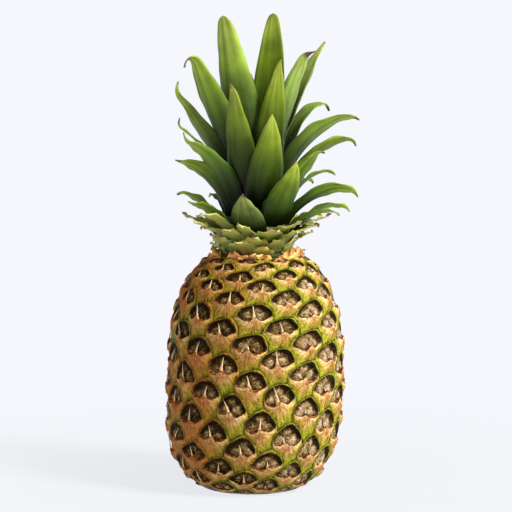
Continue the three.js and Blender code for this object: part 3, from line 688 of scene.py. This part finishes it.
def rindFinish():
    # Pineapple rind: waxy and fibrous, near black and glossy in the flower scars, peach on the bracts, olive between.
    # The eye sees each scar as a dark hollow with pale sepals, and the fibres as what gives the skin its grain.
    material, add = newMaterial("pineappleRindSkin")
    ring, upness, pale, blush, tint = [
        add("Attribute", output="Fac", attribute_name=name)
        for name in ("ringPlace", "upness", "pale", "blush", "eyeTint")
    ]
    uv = add("UVMap", uv_map="place")
    spot = add("TexCoord", output="Object")
    side = add("SeparateXYZ", [spot], output="X")
    # streaks run out from the eye's centre: about 56 round it, 1.2 mm apart at the scar's edge
    streak = drawnOut(add, uv, tint, 56.0, 6.0)
    # blotches 4 mm wide, specks 1.4 mm wide, and patches 25 mm wide over the whole fruit
    blotch, speck, patch = [
        add("TexNoise", {"Vector": spot, "Scale": scale, "Detail": detail})
        for scale, detail in ((250.0, 3.0), (700.0, 3.0), (40.0, 2.0))
    ]
    right = add("MapRange", [side, -0.015, 0.05])
    left = add("MapRange", [side, 0.02, -0.04])

    # the scar: paler on the sepals and in the middle, paler on the right (partly whiter sepals, partly painted light
    # from the key on the right), darker in under the arch (partly its own dark colour, partly painted shade in the
    # recess), with grain over all
    grain = add("Math", [streak, speck], "ADD")
    grain = add("Math", [grain, blotch], "ADD")
    grain = add("MapRange", [grain, 1.2, 1.8, -0.32, 0.32], clamp=False)
    sepal = add("Math", [pale, 0.4, grain], "MULTIPLY_ADD")
    # sepals paler on the right: partly their own whiter colour there, partly painted light from the key on the right
    rightPaleAndLit = add("MapRange", {0: right, 3: 0.02, 4: 0.36})
    sepal = add("Math", [sepal, rightPaleAndLit], "ADD")
    # painted shade in part: darker towards the top of the scar, in the recess under the arch, on top of the scar's
    # own dark colour there
    shade = add("MapRange", [ring, 0.26, 0.5, 0.0, -0.42])
    sepal = add("Math", [shade, upness, sepal], "MULTIPLY_ADD")
    middle = add("MapRange", [ring, 0.0, 0.34, 0.16, 0.04])
    sepal = add("Math", [sepal, middle], "ADD")
    scar = add("ValToRGB", [sepal], stops=rindLook["scar"])

    # the skin outside it, by the place between scar and groove, which the blotches make uneven
    spread = add("Math", [blotch, 0.22, ring], "MULTIPLY_ADD")
    spread = add("Math", [spread, 0.11], "SUBTRACT")
    lip, bract = [add("ValToRGB", [spread], stops=rindLook[part]) for part in ("lip", "bract")]
    skin = add("Mix", {"Factor": upness, 6: bract, 7: lip}, **inColour)
    # the left is orange-brown in patches, less so in the seams between the eyes
    rusty = add("Math", [patch, speck], "ADD")
    rusty = add("MapRange", [rusty, 0.9, 1.08, 0.0, 0.95])
    seam = add("MapRange", [ring, 0.72, 0.96, 1.0, 0.45])
    for part in (left, seam):
        rusty = add("Math", [rusty, part], "MULTIPLY")
    salmon = add("Math", {0: blush, 1: rindLook["blushShare"]}, "MULTIPLY")
    for factor, colour in ((rusty, rindLook["rust"]), (salmon, rindLook["blush"])):
        skin = add("Mix", {"Factor": factor, 6: skin, 7: colour}, **inColour)
    # streaks and specks darken it, partly as dirt and partly as painted shade in the hollows of the bump that the
    # same streaks and specks raise; and painted light brightens the right side and darkens the left, as the key light
    # from the right falls
    # partly dirt, partly painted shade: darker where the streaks and specks of the bump below are low
    tone = add("MapRange", [streak, 0.34, 0.66, 0.5, 1.25])
    dirtAndHollowShade = add("MapRange", [speck, 0.36, 0.5, 0.5, 1.0])
    # painted light: brightness only, higher on the right and lower on the left
    rightSideLight = add("MapRange", {0: right, 3: 0.91, 4: 1.2})
    for factor, part in ((0.8, tone), (0.8, dirtAndHollowShade), (1.0, rightSideLight)):
        skin = add("Mix", {"Factor": factor, 6: skin, 7: part}, **inColour, blend_type="MULTIPLY")

    # the scar's edge is sharp above, and below it the bract's pale fibres run up into the scar
    edge = add("Math", [streak, 0.05, ring], "MULTIPLY_ADD")
    edge = add("MapRange", [edge, 0.505, 0.535])
    frayed = add("Math", [streak, 0.3, ring], "MULTIPLY_ADD")
    frayed = add("MapRange", [frayed, 0.54, 0.66])
    outside = add("Mix", {"Factor": upness, 2: frayed, 3: edge})
    colour = add("Mix", {"Factor": outside, 6: scar, 7: skin}, **inColour)
    rough = add("MapRange", {0: outside, 3: 0.38, 4: 0.5})
    relief = add("Math", [streak, speck], "ADD")
    finishMaterial(add, colour, rough, relief, 1.0, 0.9, specular=0.1)
    return material


leafLook = {
    # along the blade from foot to tip: the near-black foot is painted shade, where the leaves around shade the blade
    "green": [(0.0, "#081000"), (0.22, "#162A02"), (0.45, "#466A06"), (0.72, "#7E9E14"), (0.95, "#AABC40")],
    "gutter": "#365804", "gutterShare": 0.45, "bloom": "#B2BF7C",
    "husk": [(0.35, "#241A0E"), (0.5, "#6E5638"), (0.65, "#B09A72")],
}


def leafFinish():
    # Crown leaf: a stiff waxy blade, green and smooth inside the gutter, with a grey bloom in lines on its back.
    # The bloom is what makes the backs look dusty beside the clear green of the gutters.
    material, add = newMaterial("waxyCrownLeaf")
    uv = add("UVMap", uv_map="place")
    along = add("SeparateXYZ", [uv], output="Y")
    spot = add("TexCoord", output="Object")
    upperFace, tint, dry, waxy = [
        add("Attribute", output="Fac", attribute_name=name)
        for name in ("upperFace", "leafTint", "dryness", "bloom")
    ]
    lines = drawnOut(add, uv, tint, 26.0, 1.6)  # 26 across a blade of 27 mm, one a millimetre
    bands = drawnOut(add, uv, tint, 5.0, 1.1, detail=1.0)
    cloud = add("TexNoise", {"Vector": spot, "Scale": 60.0, "Detail": 3.0})
    # painted shade: the blade darkens to near black towards its foot
    green = add("ValToRGB", [along], stops=leafLook["green"])
    deep = add("Mix", {"Factor": leafLook["gutterShare"], 6: green, 7: leafLook["gutter"]}, **inColour)
    # the bloom lies in the lines, fades to the foot, and is thinner in the gutter than on the back
    bloom = add("MapRange", [lines, 0.38, 0.66, 0.4, 0.8])
    fainter = add("MapRange", [along, 0.2, 0.6])
    for part in (waxy, fainter):
        bloom = add("Math", [bloom, part], "MULTIPLY")
    thinner = add("Math", [bloom, 0.6], "MULTIPLY")
    back, deep = [
        add("Mix", {"Factor": factor, 6: under, 7: leafLook["bloom"]}, **inColour)
        for factor, under in ((bloom, green), (thinner, deep))
    ]
    colour = add("Mix", {"Factor": upperFace, 6: back, 7: deep}, **inColour)
    tone = add("Math", [cloud, bands], "ADD")
    tone = add("MapRange", [tone, 0.75, 1.25, 0.62, 1.38])
    # painted shade: low in the crown and near its axis the leaves are darkened, as if shaded by the leaves around
    # them
    heartShade = add("VectorMath", [spot, (1.0, 1.0, 0.0)], "MULTIPLY")
    heartShade = add("VectorMath", [heartShade], "LENGTH", output="Value")
    heartShade = add("MapRange", [heartShade, 0.014, 0.054, 0.1, 1.0])
    level = add("SeparateXYZ", [spot], output="Z")
    level = add("MapRange", [level, 0.21, 0.3, 0.0, 1.0])
    heartShade = add("Math", [heartShade, level], "MAXIMUM")
    tone = add("Math", [tone, heartShade], "MULTIPLY")
    hue = add("MapRange", {0: tint, 3: 0.485, 4: 0.508})
    colour = add("HueSaturation", {"Hue": hue, "Saturation": 1.0, "Value": tone, "Color": colour})
    # the tip dries to brown and grey, in a ragged line that dryness moves down the blade
    ragged = add("Math", [cloud, 0.16, along], "MULTIPLY_ADD")
    reach = add("Math", [dry, 0.1, ragged], "MULTIPLY_ADD")
    dead = add("MapRange", [reach, 1.08, 1.12])
    husk = add("ValToRGB", [lines], stops=leafLook["husk"])
    colour = add("Mix", {"Factor": dead, 6: colour, 7: husk}, **inColour)
    rough = add("MapRange", {0: dead, 3: 0.42, 4: 0.85})
    finishMaterial(add, colour, rough, lines, 0.4, 0.5, specular=0.2)
    return material


scaleLook = {
    # from foot to tip: the dark foot is painted shade, where the scales around shade it
    "green": [(0.0, "#30360C"), (0.4, "#869030"), (0.68, "#C4C658"), (0.92, "#CCC47C")],
    "bloom": "#9CA878", "rust": "#B07C34",
    "husk": [(0.35, "#3A2A18"), (0.5, "#8A6A40"), (0.65, "#C0A67C")],
}


def scaleFinish():
    # Scale leaf: short, thick and dusty grey-green, darkened towards the foot with painted shade, rusty in blotches,
    # dried brown at its tip.
    # The rust and the brown tips are what the eye takes for older, drier leaves than those above.
    material, add = newMaterial("dustyScaleLeaf")
    uv = add("UVMap", uv_map="place")
    along = add("SeparateXYZ", [uv], output="Y")
    spot = add("TexCoord", output="Object")
    tint = add("Attribute", output="Fac", attribute_name="leafTint")
    lines = drawnOut(add, uv, tint, 22.0, 1.5)
    cloud = add("TexNoise", {"Vector": spot, "Scale": 120.0, "Detail": 4.0})
    # painted shade: the scale darkens towards its foot
    colour = add("ValToRGB", [along], stops=scaleLook["green"])
    bloom = add("MapRange", [lines, 0.4, 0.65, 0.0, 0.4])
    rust = add("MapRange", [cloud, 0.55, 0.68, 0.0, 0.7])
    for factor, over in ((bloom, scaleLook["bloom"]), (rust, scaleLook["rust"])):
        colour = add("Mix", {"Factor": factor, 6: colour, 7: over}, **inColour)
    ragged = add("Math", [cloud, 0.5, along], "MULTIPLY_ADD")
    dead = add("MapRange", [ragged, 1.14, 1.24])
    husk = add("ValToRGB", [lines], stops=scaleLook["husk"])
    colour = add("Mix", {"Factor": dead, 6: colour, 7: husk}, **inColour)
    finishMaterial(add, colour, 0.55, lines, 0.5, 0.5)
    return material


bractLook = [(0.0, "#C29A4C"), (0.1, "#C8823C"), (0.3, "#E2AE6C"), (0.8, "#EDD3A0"), (1.0, "#D8C698")]


def bractFinish():
    # Dry bract: papery and fibrous, peach to tan, paler at its point. Its mottling reads as dried paper.
    material, add = newMaterial("dryBract")
    along = add("Attribute", output="Fac", attribute_name="alongPoint")
    spot = add("TexCoord", output="Object")
    cloud = add("TexNoise", {"Vector": spot, "Scale": 300.0, "Detail": 4.0})
    colour = add("ValToRGB", [along], stops=bractLook)
    tone = add("MapRange", [cloud, 0.3, 0.7, 0.7, 1.15])
    colour = add("Mix", {"Factor": 1.0, 6: colour, 7: tone}, **inColour, blend_type="MULTIPLY")
    finishMaterial(add, colour, 0.6, cloud, 0.4, 0.3)
    return material


neckLook = [(0.2, "#B5A038"), (0.5, "#E0B870"), (0.75, "#DCA868"), (0.92, "#B8682E"), (1.0, "#6E4020")]


def neckFinish():
    # Neck bract: dried yellow and orange, brown where it tears. Its lines read as the fibres of a withered leaf.
    material, add = newMaterial("driedNeckBract")
    uv = add("UVMap", uv_map="place")
    along = add("SeparateXYZ", [uv], output="Y")
    tint = add("Attribute", output="Fac", attribute_name="leafTint")
    lines = drawnOut(add, uv, tint, 14.0, 1.5)
    colour = add("ValToRGB", [along], stops=neckLook)
    tone = add("MapRange", [lines, 0.3, 0.7, 0.95, 1.85])
    colour = add("Mix", {"Factor": 1.0, 6: colour, 7: tone}, **inColour, blend_type="MULTIPLY")
    finishMaterial(add, colour, 0.6, lines, 0.5, 0.4)
    return material


def stalkFinish():
    # Cut stalk: dry pale pith with darker fibre ends, each about a millimetre across.
    material, add = newMaterial("driedStalkPith")
    spot = add("TexCoord", output="Object")
    ends = add("TexVoronoi", {"Vector": spot, "Scale": 900.0}, output="Distance")
    colour = add("ValToRGB", [ends], stops=[(0.0, "#7A5C38"), (0.4, "#B8996A"), (0.8, "#CDB48A")])
    finishMaterial(add, colour, 0.85, ends, 0.6, 0.5)
    return material


bract = bractFinish()
makeRind(rindFinish())
print("rind made")
makeBractPoints(bract)
makeBractFibres(bract)
makeNeckBracts(neckFinish())
print("bracts made")
makeLeaves(leafFinish())
print("leaves made")
scaleMaterial = scaleFinish()
makeScales(scaleMaterial)
makeStem(scaleMaterial)
print("crown stem made")
stalkNode = bpy.data.objects["stalk_stub"]
stalkNode.data.materials.clear()
stalkNode.data.materials.append(stalkFinish())


studio = {"paper": "#F5F7FC", "floor": "#545556", "glow": 0.84, "floorSize": 12.0, "ambient": 0.25,
          "sky": "#FFF6E6", "keyPower": 5.0, "fillPower": 0.4}
view = {"target": (0.003, 0.0, 0.162), "distance": 1.5, "elevation": 6.0, "height": 0.358, "sensor": 36.0}


def makeStudio():
    # a pale floor as bright as the pale surround, a soft sun from the front right and a weaker one from the left
    size = studio["floorSize"]
    mesh = bpy.data.meshes.new("floor")
    mesh.from_pydata([(-size, -size, 0), (size, -size, 0), (size, size, 0), (-size, size, 0)], [], [(0, 1, 2, 3)])
    floor = bpy.data.objects.new("floor", mesh)
    bpy.context.collection.objects.link(floor)
    material, add = newMaterial("palePaper")
    # mostly its own even glow, so that the shadow on it stays faint, and nothing else from 0.45 m out
    spot = add("TexCoord", output="Object")
    far = add("VectorMath", [spot], "LENGTH", output="Value")
    far = add("MapRange", [far, 0.08, 0.45])
    near = add("BsdfDiffuse", {"Color": studio["floor"]})
    glow, paper = [add("Emission", {"Color": studio["paper"], "Strength": power}) for power in (studio["glow"], 1.0)]
    lit = add("AddShader", [near, glow])
    whole = add("MixShader", [far, lit, paper])
    add("OutputMaterial", {"Surface": whole})
    mesh.materials.append(material)
    world = bpy.data.worlds.new("studio")
    bpy.context.scene.world = world
    world.use_nodes = True
    world.node_tree.nodes.clear()
    add = partial(addNode, world.node_tree)
    # the world lights by one colour and is seen as the other
    seen = add("LightPath", output="Is Camera Ray")
    lit = add("Background", {"Color": studio["sky"], "Strength": studio["ambient"]})
    shown = add("Background", {"Color": studio["paper"], "Strength": 1.0})
    either = add("MixShader", [seen, lit, shown])
    add("OutputWorld", {"Surface": either})
    for name, power, angle, turn, tilt in (
        ("keySun", studio["keyPower"], 16.0, 58.0, 50.0), ("fillSun", studio["fillPower"], 50.0, -40.0, 60.0),
    ):
        light = bpy.data.lights.new(name, "SUN")
        light.energy = power
        light.angle = np.radians(angle)
        lamp = bpy.data.objects.new(name, light)
        lamp.rotation_euler = (np.radians(tilt), 0.0, np.radians(turn))
        bpy.context.collection.objects.link(lamp)


def makeCamera():
    # a camera at the view's distance, tilted down by its elevation, whose frame is the view's height at the target
    camera = bpy.data.cameras.new("camera")
    camera.sensor_width = view["sensor"]
    camera.lens = view["sensor"] * view["distance"] / view["height"]
    camera.clip_end = 60.0
    holder = bpy.data.objects.new("camera", camera)
    tilt = np.radians(view["elevation"])
    x, y, z = view["target"]
    holder.location = (x, y - view["distance"] * np.cos(tilt), z + view["distance"] * np.sin(tilt))
    holder.rotation_euler = (np.pi / 2 - tilt, 0.0, 0.0)
    bpy.context.collection.objects.link(holder)
    bpy.context.scene.camera = holder


makeStudio()
makeCamera()
bpy.context.scene.view_settings.view_transform = "Standard"
bpy.context.scene.view_settings.look = "None"
print("studio made")
